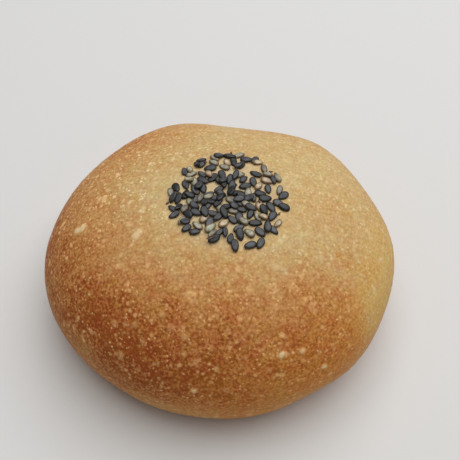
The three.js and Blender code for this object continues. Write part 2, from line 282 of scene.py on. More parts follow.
# The husks' fine relief: its size and depth in mm, and how strongly it shows
HUSK_RELIEF = {"size": 0.3, "depth": 0.04, "strength": 0.4}
# A seed's darker outline is partly a darker rim of the husk and partly painted shade where its edge turns
# away and meets the crust
HUSK_RIM_AND_SHADE_TURN = (0.45, 0.88)  # share of the way out where a seed's outline sets in, and where it is full


def length_setting(name, description, default, least=0):
    """A length that the user can set, with its default and its least value in mm."""
    return bpy.props.FloatProperty(
        name=name, description=description, default=default * MM, min=least * MM, unit="LENGTH")


def color_setting(name, description, default):
    """A colour that the user can set, with the red, green and blue of its default."""
    return bpy.props.FloatVectorProperty(
        name=name, description=description, default=(*default, 1), min=0, max=1, size=4, subtype="COLOR")


def share_setting(name, description, default):
    """A share, from 0 to 1, that the user can set."""
    return bpy.props.FloatProperty(
        name=name, description=description, default=default, min=0, max=1, subtype="FACTOR")


class RollShape(bpy.types.PropertyGroup):
    """Sizes of the bun."""

    half_length: length_setting("Half length", "From the middle to the widest line, along X", 49, 10)
    half_width: length_setting("Half width", "From the middle to the widest line, along Y", 44.3, 10)
    height: length_setting("Height", "From the foot to the top of the crown", 44, 10)
    shoulder: length_setting("Shoulder", "Height of the widest line above the foot", 16.72, 1)
    foot_share: share_setting("Foot", "Radius of the flat foot, as a share of the widest line's", 0.85)
    crown_fullness: bpy.props.FloatProperty(
        name="Fullness", description="Fullness of the crown: 2 is an ellipse, more is fuller",
        default=2.2, min=1.5, max=4)
    mesh_step: length_setting("Mesh step", "Length of the crust's faces", 0.56, 0.3)
    dimple_depth: length_setting("Dimples", "From the highest to the lowest of the broad dimples", 0.3)
    blister_rise: length_setting("Blisters", "Height of the larger blisters", 0.35)


class CrustFinish(bpy.types.PropertyGroup):
    """Colours of the crust, from the least baked to the most, and of what shows on it."""

    baked_0: color_setting("Pale", "Least baked crust, on the crown", (0.6, 0.44, 0.205))
    baked_1: color_setting("Golden", "Lightly baked crust", (0.575, 0.35, 0.137))
    baked_2: color_setting("Tan", "Evenly baked crust", (0.545, 0.262, 0.088))
    baked_3: color_setting("Brown", "Well baked crust", (0.475, 0.178, 0.048))
    baked_4: color_setting("Dark", "Most baked crust, on the flank", (0.35, 0.09, 0.02))
    speck: color_setting("Specks", "The fine specks all over the crust", (0.9, 0.53, 0.22))
    blister: color_setting("Blisters", "The thin skin of the blisters", (0.86, 0.69, 0.4))
    shaded: color_setting("Shaded", "The crust between the seeds", (0.62, 0.53, 0.35))
    # Partly the crust's own honey colour and partly a painted warm glow of light through the thin crust
    honey: color_setting("Honey", "The glow of the crust on its honey-coloured side", (0.68, 0.25, 0.042))
    # Partly the pale crust's own colour and partly painted light on that side
    straw: color_setting("Straw", "The glow of the crust on its palest side", (0.7, 0.44, 0.115))
    rim: color_setting("Rim", "The strip above the foot", (0.6, 0.215, 0.035))
    under: color_setting("Underside", "The middle of the foot", (0.5, 0.28, 0.11))
    under_edge: color_setting("Ring", "The ring where the foot lay hottest on the tray", (0.3, 0.12, 0.035))
    roughness: share_setting("Roughness", "Roughness of the crust", 0.52)
    sheen: share_setting("Sheen", "Strength of the crust's dull shine", 0.05)


class SeedShape(bpy.types.PropertyGroup):
    """Sizes and colours of the seeds."""

    length: length_setting("Length", "Length of a seed", 3.1, 1)
    width: length_setting("Width", "Width of a seed", 1.8, 0.5)
    thickness: length_setting("Thickness", "Thickness of a seed", 1, 0.2)
    point: share_setting("Point", "How much slimmer the pointed end is than the round one", 0.2)
    sink: length_setting("Sink", "How deep a seed is pressed into the crust", 0.18)
    black: color_setting("Black", "Husk of a black seed", (0.042, 0.045, 0.051))
    grey: color_setting("Grey", "Husk of an unripe, greyish seed", (0.27, 0.255, 0.195))
    pale: color_setting("Pale", "A seed that lost its husk", (0.5, 0.4, 0.255))
    bits: color_setting("Bits", "Broken bits of husk", (0.1, 0.055, 0.03))
    # The outline is partly the husk's darker rim and partly painted shade at the seed's edge
    outline: color_setting("Outline", "What a seed's colour is multiplied by at its edge", (0.45, 0.34, 0.24))


class StageSettings(bpy.types.PropertyGroup):
    """The floor, the light and the camera."""

    floor: color_setting("Floor", "Colour of the floor", (0.74, 0.735, 0.72))
    sky: bpy.props.FloatProperty(
        name="Sky", description="Strength of the even light from all round", default=0.19, min=0)
    lamp: bpy.props.FloatProperty(
        name="Lamp", description="Power of the large soft lamp", default=8.7, min=0, unit="POWER")
    lamp_size: length_setting("Lamp size", "Side of the square lamp", 1000, 10)
    lamp_place: bpy.props.FloatVectorProperty(
        name="Lamp place", description="Where the lamp hangs, turned to the roll",
        default=(0.17, 0.23, 0.85), subtype="XYZ", unit="LENGTH")
    elevation: bpy.props.FloatProperty(
        name="Camera height", description="Angle of the camera above the floor",
        default=math.radians(58), subtype="ANGLE")
    distance: length_setting("Camera distance", "From the point that the camera looks at", 208.9, 10)
    aim: bpy.props.FloatVectorProperty(
        name="Aim", description="The point on the floor that the camera looks at",
        default=(2.9 * MM, 19.9 * MM, 0), subtype="XYZ", unit="LENGTH")
    lens: bpy.props.FloatProperty(
        name="Lens", description="Focal length, in mm on a sensor 36 mm wide", default=50.9, min=1)


# Modelling helpers


def select_nothing():
    """Goes back to object mode, with nothing selected."""
    if bpy.context.object and bpy.context.object.mode != "OBJECT":
        bpy.ops.object.mode_set(mode="OBJECT")
    bpy.ops.object.select_all(action="DESELECT")


def select_vertices(piece, indices):
    """Enters edit mode with only these vertices of the piece selected."""
    bpy.ops.object.mode_set(mode="EDIT")
    bpy.ops.mesh.select_mode(type="VERT")
    bpy.ops.mesh.select_all(action="DESELECT")
    bpy.ops.object.mode_set(mode="OBJECT")
    chosen = np.zeros(len(piece.data.vertices), bool)
    chosen[indices] = True
    piece.data.vertices.foreach_set("select", chosen)
    bpy.ops.object.mode_set(mode="EDIT")


def places_of(piece):
    """The piece's vertices as rows of x, y and z."""
    places = np.empty(3 * len(piece.data.vertices), np.float32)
    piece.data.vertices.foreach_get("co", places)
    return places.reshape(-1, 3)


def vertex_finder(piece):
    """A function that gives the piece's vertices nearest to some points."""
    tree = KDTree(len(piece.data.vertices))
    for vertex in piece.data.vertices:
        tree.insert(vertex.co, vertex.index)
    tree.balance()
    return lambda points: [tree.find(point)[1] for point in points]


def apply_modifier(piece, kind, **settings):
    """Adds a modifier with these settings and applies it."""
    modifier = piece.modifiers.new(kind.title(), kind)
    for name, value in settings.items():
        setattr(modifier, name, value)
    bpy.ops.object.modifier_apply(modifier=modifier.name)


def write_values(piece, name, values):
    """Writes one number for each vertex, for the materials to read."""
    attribute = piece.data.attributes.new(name, "FLOAT", "POINT")
    attribute.data.foreach_set("value", np.asarray(values, np.float32))


def falloff(far):
    """Smooth falloff from 1 at 0 to 0 at 1 and past it."""
    left = np.clip(1 - far, 0, 1)
    return left * left * (3 - 2 * left)


class Draws:
    """A fixed row of draws between 0 and 1."""

    FACTOR = 16807
    MODULUS = 2147483647

    def __init__(self, first):
        self.drawn = first

    def next(self):
        """The next draw."""
        self.drawn = self.drawn * self.FACTOR % self.MODULUS
        return self.drawn / self.MODULUS

    def about(self, reach):
        """The next draw, between -reach and reach."""
        return (2 * self.next() - 1) * reach


# The bun


def profile_at(shape, up):
    """Share of the radius, and height, from -1 at the foot's edge through the shoulder to 1 at the crown."""
    angle = abs(up) * math.pi / 2
    if up < 0:
        out = shape.foot_share + (1 - shape.foot_share) * math.cos(angle)
        return out, shape.shoulder * (1 - math.sin(angle))
    out = math.cos(angle) ** (2 / shape.crown_fullness)
    return out, shape.shoulder + (shape.height - shape.shoulder) * math.sin(angle)


def oval_point(shape, at, up):
    """The point of the even oval bun that many degrees round from +X and that far up."""
    out, height = profile_at(shape, up)
    way = math.radians(at)
    return Vector((shape.half_length * out * math.cos(way), shape.half_width * out * math.sin(way), height))


def crust_point(shape, at, up):
    """The same point where the pulls have taken it."""
    point = oval_point(shape, at, up)
    moved = point.copy()
    for pull in PULLS:
        way = math.radians(pull["at"])
        far = (point - oval_point(shape, pull["at"], pull["up"])).length
        strength = falloff(far / (pull["reach"] * MM))
        moved += Vector((math.cos(way), math.sin(way), 0)) * pull["out"] * MM * strength
    return moved


def crust_frame(shape, at, up):
    """A frame on the crust, x level along it, y up the slope and z out of it, and the point that it is at."""
    middle = crust_point(shape, at, up)
    level = (crust_point(shape, at + 1, up) - middle).normalized()
    slope = (crust_point(shape, at, up + 0.01) - middle).normalized()
    out = level.cross(slope).normalized()
    slope = out.cross(level)
    return Matrix((level, slope, out)).transposed().to_4x4(), middle


def crown_point(shape, x, y):
    """The crown's point over a place in plan."""
    out = math.hypot(x / shape.half_length, y / shape.half_width)
    rise = math.sqrt(1 - out ** shape.crown_fullness)
    return Vector((x, y, shape.shoulder + (shape.height - shape.shoulder) * rise))


def crown_frame(shape, x, y, turn):
    """A frame on the crown over a place in plan, with x turned that far from +X."""
    step = 0.1 * MM
    middle = crown_point(shape, x, y)
    east = crown_point(shape, x + step, y) - middle
    north = crown_point(shape, x, y + step) - middle
    out = east.cross(north).normalized()
    along = Vector((math.cos(turn), math.sin(turn), 0))
    across = out.cross(along).normalized()
    along = across.cross(out)
    return Matrix.Translation(middle) @ Matrix((along, across, out)).transposed().to_4x4()


def add_turned_bun(shape):
    """Draws the profile by extruding a point, spins it round and stretches the round bun to the oval."""
    ups = [step / RINGS_BELOW for step in range(-RINGS_BELOW, 0)]
    ups += [step / RINGS_ABOVE for step in range(RINGS_ABOVE + 1)]
    outline = [Vector((0, 0, 0))]
    for up in ups:
        out, height = profile_at(shape, up)
        outline.append(Vector((shape.half_width * out, 0, height)))
    bpy.ops.mesh.primitive_plane_add(size=shape.height, location=(0, 0, 0))
    bun = bpy.context.object
    bpy.ops.object.mode_set(mode="EDIT")
    bpy.ops.mesh.merge(type="CENTER")
    for start, end in zip(outline, outline[1:]):
        bpy.ops.mesh.extrude_region_move(TRANSFORM_OT_translate={"value": end - start})
    bpy.ops.mesh.select_all(action="SELECT")
    bpy.ops.mesh.spin(steps=STEPS_ROUND, angle=math.tau, center=(0, 0, 0), axis=(0, 0, 1))
    bpy.ops.mesh.select_all(action="SELECT")
    bpy.ops.mesh.remove_doubles(threshold=SAME_PLACE * MM)
    bpy.ops.mesh.normals_make_consistent(inside=False)
    bpy.ops.transform.resize(value=(shape.half_length / shape.half_width, 1, 1), center_override=(0, 0, 0))
    bpy.ops.object.mode_set(mode="OBJECT")
    return bun


def pull_dough(bun, shape):
    """Draws the bun in and out where the dough was pulled, with soft proportional moves."""
    centres = vertex_finder(bun)([oval_point(shape, pull["at"], pull["up"]) for pull in PULLS])
    for pull, centre in zip(PULLS, centres):
        select_vertices(bun, [centre])
        way = math.radians(pull["at"])
        bpy.ops.transform.translate(
            value=(pull["out"] * MM * math.cos(way), pull["out"] * MM * math.sin(way), 0),
            use_proportional_edit=True, proportional_edit_falloff="SMOOTH",
            proportional_size=pull["reach"] * MM, use_proportional_connected=False)
        bpy.ops.object.mode_set(mode="OBJECT")


def dimple(bun, kind, depth):
    """Gives the crust soft, uneven dimples of that kind, with low swellings between them."""
    clouds = bpy.data.textures.new(kind["name"], "CLOUDS")
    clouds.noise_scale = kind["size"] * MM
    clouds.noise_depth = 1
    apply_modifier(
        bun, "DISPLACE", texture=clouds, strength=depth * kind["depth"], mid_level=DIMPLES_SINK,
        texture_coords="LOCAL")
    bpy.data.textures.remove(clouds)


def raise_spots(bun, vertices, reach, rise):
    """Raises round bumps round the vertices. Returns how far up its bump each vertex lies, from 0 to 1."""
    before = places_of(bun)
    select_vertices(bun, vertices)
    bpy.ops.transform.shrink_fatten(
        value=rise, use_proportional_edit=True, proportional_edit_falloff="SMOOTH",
        proportional_size=reach, use_proportional_connected=False)
    bpy.ops.object.mode_set(mode="OBJECT")
    return np.clip(np.linalg.norm(places_of(bun) - before, axis=1) / abs(rise), 0, 1)


def blister_line(shape, blister):
    """Points along the middle of a long blister."""
    turned, middle = crust_frame(shape, blister["at"], blister["up"])
    half = (blister["length"] - blister["width"]) / 2 * MM
    turn = math.radians(blister["turn"])
    along = turned @ Vector((math.cos(turn), math.sin(turn), 0))
    return [middle + along * half * step for step in (-1, -0.5, 0, 0.5, 1)]


def wrinkle_line(shape):
    """Points along the wrinkle."""
    points = []
    for step in range(WRINKLE_STEPS + 1):
        done = step / WRINKLE_STEPS
        at, up = (start + done * (end - start) for start, end in zip(WRINKLE["from"], WRINKLE["to"]))
        points.append(crust_point(shape, at, up + WRINKLE["bow"] * 4 * done * (1 - done)))
    return points


def pimple_points(shape, draws, count):
    """Points spread at random over the crust, as many on each patch of its area."""
    points = []
    while len(points) < count:
        at = 360 * draws.next()
        up = PIMPLES_FROM + (1 - PIMPLES_FROM) * draws.next()
        out, _ = profile_at(shape, up)
        if draws.next() < out:
            points.append(crust_point(shape, at, up))
    return points


def raise_bumps(bun, shape, nearest):
    """Raises all that stands out in the crust. Returns how white that makes each vertex."""
    whiteness = np.zeros(len(bun.data.vertices))

    def raise_white(points, reach, rise, white, sooner=1):
        """Raises bumps at the points, and whitens the vertices that rise."""
        raised = raise_spots(bun, nearest(points), reach * MM, rise)
        np.maximum(whiteness, white * np.clip(sooner * raised, 0, 1), out=whiteness)

    low_rise = LOW_RISE * shape.blister_rise
    for blister in BLISTERS:
        reach = BUMP_REACH * blister["width"]
        raise_white(
            blister_line(shape, blister), reach, shape.blister_rise, blister["white"], WHITE_SOONER)
    for dots in PALE_DOTS:
        points = [crust_point(shape, at, up) for at, up in dots["places"]]
        raise_white(points, BUMP_REACH * dots["across"], low_rise, dots["white"], WHITE_SOONER)
    raise_white(wrinkle_line(shape), WRINKLE["width"] / 2, low_rise, WRINKLE["white"])
    draws = Draws(FIRST_DRAW)
    for pimple in PIMPLES:
        points = pimple_points(shape, draws, pimple["count"])
        raise_white(points, pimple["reach"], pimple["rise"] * MM, pimple["white"])
    return whiteness


def press_in_patch(bun, shape, nearest):
    """Presses the crust in, wide and shallow, where the seeds were put on it."""
    middle = crown_point(shape, PATCH["x"] * MM, PATCH["y"] * MM)
    raise_spots(bun, nearest([middle]), PATCH_DENT["reach"] * MM, -PATCH_DENT["depth"] * MM)


def browner_at(shape, places):
    """How much browner the crust is at each place than the sides' even baking makes it."""
    more = np.zeros(len(places))
    for at, up, reach, baked in BAKED_SPOTS:
        far = np.linalg.norm(places - np.array(crust_point(shape, at, up)), axis=1)
        more += baked * falloff(far / (reach * MM))
    return more


def shaded_at(places):
    """How much the seeds shaded the crust at each place: 1 over the inner half of the patch, 0 past it."""
    far = np.hypot(places[:, 0] - PATCH["x"] * MM, places[:, 1] - PATCH["y"] * MM)
    left = np.clip(2 * (1 - far / ((PATCH["radius"] + SHADED_PAST) * MM)), 0, 1)
    return np.where(places[:, 2] > SHADED_ABOVE * MM, left, 0)


def stand_over_origin(bun):
    """Moves the mesh to stand on the floor, its outline centred over the origin. Returns the move in plan."""
    places = places_of(bun)
    middle = (places.min(0) + places.max(0)) / 2
    bun.data.transform(Matrix.Translation((-middle[0], -middle[1], -places[:, 2].min())))
    return [float(-middle[0]), float(-middle[1])]


class ROLL_OT_crust(bpy.types.Operator):
    """Bakes the bun: turned from its profile, pulled uneven, and blistered."""

    bl_idname = "roll.crust"
    bl_label = "Crust"

    def execute(self, context):
        scene = context.scene
        shape = scene.roll_shape
        select_nothing()
        bun = add_turned_bun(shape)
        bun.name = "crust"
        pull_dough(bun, shape)
        apply_modifier(bun, "REMESH", mode="VOXEL", voxel_size=shape.mesh_step)
        apply_modifier(bun, "SMOOTH", factor=0.5, iterations=6)
        for kind in DIMPLES:
            dimple(bun, kind, shape.dimple_depth)
        nearest = vertex_finder(bun)
        write_values(bun, "shaded", shaded_at(places_of(bun)))
        press_in_patch(bun, shape, nearest)
        write_values(bun, "white", raise_bumps(bun, shape, nearest))
        write_values(bun, "browner", browner_at(shape, places_of(bun)))
        scene["roll_shift"] = stand_over_origin(bun)
        bpy.ops.object.shade_smooth()
        bun.data.materials.append(crust_material(scene.crust_finish, shape, scene["roll_shift"]))
        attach(bun, BODY)
        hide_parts(NODE)
        return {"FINISHED"}


# The seeds


def is_in_patch(x, y):
    """Whether a seed's middle may lie over that place in plan, in mm."""
    angle = math.atan2(y - PATCH["y"], x - PATCH["x"])
    edge = PATCH["radius"]
    for wave in PATCH_WAVES:
        edge += PATCH["radius"] * wave["share"] * math.cos(wave["count"] * (angle - math.radians(wave["at"])))
    inside = math.hypot(x - PATCH["x"], y - PATCH["y"]) < edge
    return inside and all(math.hypot(x - s["x"], y - s["y"]) > s["radius"] for s in BARE_SPOTS)


def top_of(seed, x, y, size):
    """Height of a laid seed's top above the crust over a place in plan, or 0 beside it."""
    away_x, away_y = x - seed["x"], y - seed["y"]
    along = away_x * math.cos(seed["turn"]) + away_y * math.sin(seed["turn"])
    across = away_y * math.cos(seed["turn"]) - away_x * math.sin(seed["turn"])
    end = along / (seed["size"] * size["length"] / 2)
    if abs(end) >= 1:
        return 0
    slim = 1 - size["point"] * end
    side = across / (seed["size"] * size["width"] / 2 * slim)
    inside = 1 - end * end - side * side
    if inside <= 0:
        return 0
    middle = seed["lift"] + size["thickness"] / 2 - size["sink"]
    slope = across * seed["roll"] - along * seed["lean"]
    return middle + slope + size["thickness"] / 2 * slim * math.sqrt(inside)


def feelers_of(seed, laid, size):
    """Where a level seed's underside is over what lies below it: along and across it, and how far too low."""
    near = [
        other for other in laid if math.hypot(seed["x"] - other["x"], seed["y"] - other["y"]) < size["near"]]
    found = []
    for end, side in FEELERS:
        slim = (1 - size["point"] * end) * math.sqrt(1 - end * end)
        along = end * seed["size"] * size["length"] / 2
        across = side * slim * seed["size"] * size["width"] / 2
        x = seed["x"] + along * math.cos(seed["turn"]) - across * math.sin(seed["turn"])
        y = seed["y"] + along * math.sin(seed["turn"]) + across * math.cos(seed["turn"])
        below = max((top_of(other, x, y, size) for other in near), default=0)
        rounded = 1 - slim * math.sqrt(1 - side * side)
        found.append((along, across, below - size["thickness"] / 2 * rounded))
    return found


def settle(seed, laid, size):
    """Leans a seed on what lies below it, so that its middle comes low. Returns how poor its place is."""
    feelers = feelers_of(seed, laid, size)
    seed["lean"], seed["roll"] = 0, 0
    seed["lift"] = max(low for _, _, low in feelers)
    least = seed["lift"]
    if least <= 0:
        return least
    for lean in SEED_SLOPES:
        for roll in SEED_SLOPES:
            lift = max(low + along * lean - across * roll for along, across, low in feelers)
            cost = lift + SEED_SLOPE_COST * (lean * lean + roll * roll)
            if cost < least:
                least = cost
                seed["lean"], seed["roll"], seed["lift"] = lean, roll, lift
    return least


def scattered_seeds(size):
    """Where each seed lies, in mm: it is tried at some places in the patch and laid at the best of them."""
    draws = Draws(FIRST_DRAW)
    laid = []
    while len(laid) < SEED_COUNT:
        best, least = None, math.inf
        for _ in range(SPOTS_TRIED):
            x, y = math.inf, math.inf
            while not is_in_patch(x, y):
                x = PATCH["x"] + draws.about(PATCH_THROW * PATCH["radius"])
                y = PATCH["y"] + draws.about(PATCH_THROW * PATCH["radius"])
            turn = draws.next() * math.tau
            seed = {"x": x, "y": y, "turn": turn, "size": 1 + draws.about(SEED_SIZE_SPREAD)}
            far = math.hypot(x - PATCH["x"], y - PATCH["y"]) / PATCH["radius"]
            cost = settle(seed, laid, size) + MIDDLE_PULL * far
            if cost < least:
                best, least = seed, cost
        best["lean"] += draws.about(SEED_WOBBLE)
        best["roll"] += draws.about(SEED_WOBBLE)
        laid.append(best)
    return laid


def seed_sizes(seeds):
    """The sizes that the seeds settle by, in mm."""
    size = {name: getattr(seeds, name) / MM for name in ("length", "width", "thickness", "sink")}
    return {**size, "point": seeds.point, "near": SEED_NEAR * size["length"]}


def model_seed(seeds, plumpness, bend, crown):
    """Shapes one seed, a flattened teardrop that lies along x, from a sphere whose poles are its ends.

    Plumpness is its width as a share, bend is how far its middle bows, and crown is how domed its top is:
    below 0 the top has sunk in.
    """
    bpy.ops.mesh.primitive_uv_sphere_add(segments=16, ring_count=12, radius=1, rotation=(0, math.pi / 2, 0))
    seed = bpy.context.object
    bpy.ops.object.transform_apply(location=False, rotation=True, scale=False)
    write_values(seed, "edge", np.hypot(places_of(seed)[:, 0], places_of(seed)[:, 1]))
    rings = sorted({round(vertex.co.x, 4) for vertex in seed.data.vertices})
    for along in rings[1:-1]:
        ring = [vertex.index for vertex in seed.data.vertices if round(vertex.co.x, 4) == along]
        select_vertices(seed, ring)
        slim = 1 - seeds.point * along
        bpy.ops.transform.resize(value=(1, slim, slim))
        bpy.ops.transform.translate(value=(0, bend * (1 - along * along), 0))
        bpy.ops.object.mode_set(mode="OBJECT")
    select_vertices(seed, [vertex.index for vertex in seed.data.vertices if vertex.co.z > SEED_TOP])
    bpy.ops.transform.resize(value=(1, 1, crown), center_override=(0, 0, SEED_TOP))
    bpy.ops.mesh.select_all(action="SELECT")
    half_sizes = (seeds.length / 2, plumpness * seeds.width / 2, seeds.thickness / 2)
    bpy.ops.transform.resize(value=half_sizes, center_override=(0, 0, 0))
    bpy.ops.object.mode_set(mode="OBJECT")
    bpy.ops.object.shade_smooth()
    return seed


def lay_copy(model, shape, shift, place, size):
    """A copy of the model, with its own mesh, laid on the crown where the place says."""
    copy = bpy.data.objects.new(model.name, model.data.copy())
    bpy.context.scene.collection.objects.link(copy)
    lean = Matrix.Rotation(math.atan(place["lean"]), 4, "Y")
    roll = Matrix.Rotation(math.atan(place["roll"]), 4, "X")
    raised = Matrix.Translation((0, 0, place["height"] * MM))
    on_crown = crown_frame(shape, place["x"] * MM, place["y"] * MM, place["turn"])
    laid = Matrix.Translation((*shift, 0)) @ on_crown @ raised @ (lean @ roll)
    copy.data.transform(laid @ Matrix.Diagonal((*size, 1)))
    write_values(copy, "tone", [place["tone"]] * len(copy.data.vertices))
    return copy


def join(copies, name):
    """Joins the copies into one piece."""
    select_nothing()
    for copy in copies:
        copy.select_set(True)
    bpy.context.view_layer.objects.active = copies[0]
    bpy.ops.object.join()
    copies[0].name = name
    return copies[0]


def sort_seeds(laid):
    """The laid seeds by kind, each with its own tone and model. All are black but the odd ones."""
    draws = Draws(FIRST_DRAW + 1)
    for seed in laid:
        seed["kind"] = "black"
        seed["tone"] = draws.next()
        seed["model"] = int(len(SEED_FORMS) * draws.next())
    for odd in ODD_SEEDS:
        for x, y in odd["places"]:
            seed = min(laid, key=lambda other: math.hypot(other["x"] - x, other["y"] - y))
            seed["kind"] = odd["kind"]
            seed["tone"] = odd["tone"] + draws.about(TONE_WOBBLE)
    return {kind: [seed for seed in laid if seed["kind"] == kind] for kind in TONE_SPREAD}


class ROLL_OT_seeds(bpy.types.Operator):
    """Scatters the sesame seeds over the crown, one piece for each kind."""

    bl_idname = "roll.seeds"
    bl_label = "Seeds"

    def execute(self, context):
        scene = context.scene
        seeds = scene.seed_shape
        size = seed_sizes(seeds)
        select_nothing()
        models = [model_seed(seeds, *form) for form in SEED_FORMS]
        for kind, places in sort_seeds(scattered_seeds(size)).items():
            copies = []
            for place in places:
                place["height"] = size["thickness"] / 2 - size["sink"] + place["lift"] - SEED_DROP
                grown = (place["size"], place["size"], 1)
                model = models[place["model"]]
                copies.append(lay_copy(model, scene.roll_shape, scene["roll_shift"], place, grown))
            piece = join(copies, "seeds_" + kind)
            husk = seed_material(kind + " husk", getattr(seeds, kind), seeds.outline, TONE_SPREAD[kind])
            piece.data.materials.append(husk)
            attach(piece, BODY)
            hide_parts(NODE)
        for model in models:
            bpy.data.objects.remove(model)
        return {"FINISHED"}


class ROLL_OT_seed_bits(bpy.types.Operator):
    """Drops the broken bits of husk that lie among the seeds."""

    bl_idname = "roll.seed_bits"
    bl_label = "Seed bits"

    def execute(self, context):
        scene = context.scene
        seeds = scene.seed_shape
        select_nothing()
        model = model_seed(seeds, *SEED_FORMS[0])
        bpy.ops.object.mode_set(mode="EDIT")
        bpy.ops.mesh.select_all(action="SELECT")
        bpy.ops.mesh.bisect(plane_co=(0, 0, 0), plane_no=BREAK_WAY, use_fill=True, clear_inner=True)
        bpy.ops.object.mode_set(mode="OBJECT")
        broken_length = np.ptp(places_of(model)[:, 0]) / MM
        size = seed_sizes(seeds)
        laid = scattered_seeds(size)
        copies = []
        for bit in SEED_BITS:
            short = bit["length"] / broken_length
            slim = bit["length"] * bit["slim"] / size["width"]
            height = BIT_HEIGHT + max(top_of(seed, bit["x"], bit["y"], size) for seed in laid)
            place = {
                **bit, "turn": math.radians(bit["turn"]), "lean": 0, "roll": 0, "height": height,
                "tone": bit["slim"]}  # the slimmer, the darker
            grown = (short, slim, BIT_THICKNESS)
            copies.append(lay_copy(model, scene.roll_shape, scene["roll_shift"], place, grown))
        piece = join(copies, "seed_bits")
        piece.data.materials.append(seed_material("broken husk", seeds.bits, seeds.outline, 1))
        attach(piece, BODY)
        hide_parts(NODE)
        bpy.data.objects.remove(model)
        return {"FINISHED"}


# Materials


def fill_inputs(tree, node, inputs):
    """Fills a node's inputs with values, or links them to the sockets that feed them."""
    for name, value in inputs.items():
        if isinstance(value, bpy.types.NodeSocket):
            tree.links.new(value, node.inputs[name])
        else:
            node.inputs[name].default_value = value


def add_node(tree, kind, inputs, output=0, **settings):
    """Adds a node with these inputs and settings, and returns one of its outputs, by name or by number."""
    node = tree.nodes.new("ShaderNode" + kind)
    for name, value in settings.items():
        setattr(node, name, value)
    fill_inputs(tree, node, inputs)
    return node.outputs[output]


def maths(tree, operation, first, second=0.0, third=0.0):
    """The outcome of the operation on numbers."""
    return add_node(tree, "Math", {0: first, 1: second, 2: third}, operation=operation)


def vector_maths(tree, operation, first, second=(0, 0, 0), third=(0, 0, 0), output=0):
    """The outcome of the operation on vectors."""
    return add_node(tree, "VectorMath", {0: first, 1: second, 2: third}, output, operation=operation)


def mixed(tree, factor, first, second, blend="MIX"):
    """The first colour, mixed with the second by the factor."""
    # The node has sockets of the same names for numbers, vectors and colours: these are the colours' ones
    return add_node(
        tree, "Mix", {0: factor, 6: first, 7: second}, output=2, data_type="RGBA", blend_type=blend)


def ranged(tree, value, low, high, to_low=0.0, to_high=1.0):
    """A smooth step of the value from low to high."""
    return add_node(
        tree, "MapRange",
        {"Value": value, "From Min": low, "From Max": high, "To Min": to_low, "To Max": to_high},
        interpolation_type="SMOOTHSTEP")


def varied(tree, pattern, by, about=0.0):
    """A value that the pattern, from 0 to 1, changes by that much in all, half up and half down."""
    return maths(tree, "MULTIPLY_ADD", pattern, by, about - by / 2)


def noise(tree, coordinates, size, detail=2.0):
    """Noise from 0 to 1, with blobs of about that size in mm."""
    return add_node(tree, "TexNoise", {"Vector": coordinates, "Scale": 1 / (size * MM), "Detail": detail})


def read_values(tree, name):
    """The numbers that write_values gave the vertices."""
    return add_node(tree, "Attribute", {}, output="Fac", attribute_name=name)


def new_group(name, inputs, outputs):
    """An empty node group, with the sockets that bring its inputs in and take its outputs out.

    Inputs and outputs are given by name, each with its kind of socket.
    """
    group = bpy.data.node_groups.new(name, "ShaderNodeTree")
    for in_out, sockets in (("INPUT", inputs), ("OUTPUT", outputs)):
        for label, kind in sockets.items():
            group.interface.new_socket(label, in_out=in_out, socket_type="NodeSocket" + kind)
    return group, group.nodes.new("NodeGroupInput").outputs, group.nodes.new("NodeGroupOutput").inputs


def add_group(tree, name, build, inputs):
    """Places the group of that name, which is built the first time, and returns its outputs."""
    node = tree.nodes.new("ShaderNodeGroup")
    node.node_tree = bpy.data.node_groups.get(name) or build(name)
    fill_inputs(tree, node, inputs)
    return node.outputs


def build_specks(name):
    """Round specks scattered over a surface, each of its own size, as a mask."""
    group, given, made = new_group(
        name, {"Vector": "Vector", "Per metre": "Float", "Radius": "Float", "Share": "Float"},
        {"Mask": "Float"})
    cells = group.nodes.new("ShaderNodeTexVoronoi")
    fill_inputs(group, cells, {"Vector": given["Vector"], "Scale": given["Per metre"]})
    drawn = group.nodes.new("ShaderNodeSeparateColor")
    fill_inputs(group, drawn, {"Color": cells.outputs["Color"]})
    size = maths(group, "MULTIPLY_ADD", drawn.outputs["Red"], 1 - SPECK_LEAST, SPECK_LEAST)
    radius = maths(group, "MULTIPLY", size, given["Radius"])
    core = maths(group, "MULTIPLY", radius, SPECK_CORE)
    round_speck = ranged(group, cells.outputs["Distance"], radius, core)
    kept = maths(group, "LESS_THAN", drawn.outputs["Green"], given["Share"])
    group.links.new(maths(group, "MULTIPLY", round_speck, kept), made["Mask"])
    return group


def build_husk(name):
    """A husk, lighter or darker by its tone, blotched, and darker round its edge, partly a darker rim and
    partly painted shade.
    """
    group, given, made = new_group(
        name,
        {"Vector": "Vector", "Color": "Color", "Tone": "Float", "Tone spread": "Float", "Edge": "Float",
         "Outline": "Color"},
        {"Color": "Color", "Roughness": "Float", "Relief": "Float"})
    blotch = noise(group, given["Vector"], BLOTCHES["size"])
    lighter = maths(group, "SUBTRACT", given["Tone"], 0.5)
    toned = maths(group, "MULTIPLY_ADD", lighter, given["Tone spread"], 1.0)
    blotched = varied(group, blotch, BLOTCHES["value"], HUSK_VALUE)
    value = maths(group, "MULTIPLY", toned, blotched)
    hue = varied(group, given["Tone"], HUSK_HUE, SAME_HUE)
    husk = add_node(group, "HueSaturation", {"Hue": hue, "Value": value, "Color": given["Color"]})
    # The husk's darker rim with painted shade: its edge is multiplied by the outline colour
    husk = mixed(group, ranged(group, given["Edge"], *HUSK_RIM_AND_SHADE_TURN), husk, given["Outline"], "MULTIPLY")
    group.links.new(husk, made["Color"])
    roughness = varied(group, blotch, BLOTCHES["roughness"], HUSK_ROUGHNESS)
    group.links.new(roughness, made["Roughness"])
    group.links.new(noise(group, given["Vector"], HUSK_RELIEF["size"]), made["Relief"])
    return group


def new_material(name):
    """A material with a Principled BSDF, its tree, that shader, and the object's coordinates."""
    material = bpy.data.materials.new(name)
    material.use_nodes = True
    tree = material.node_tree
    coordinates = tree.nodes.new("ShaderNodeTexCoord").outputs["Object"]
    return material, tree, tree.nodes["Principled BSDF"], coordinates


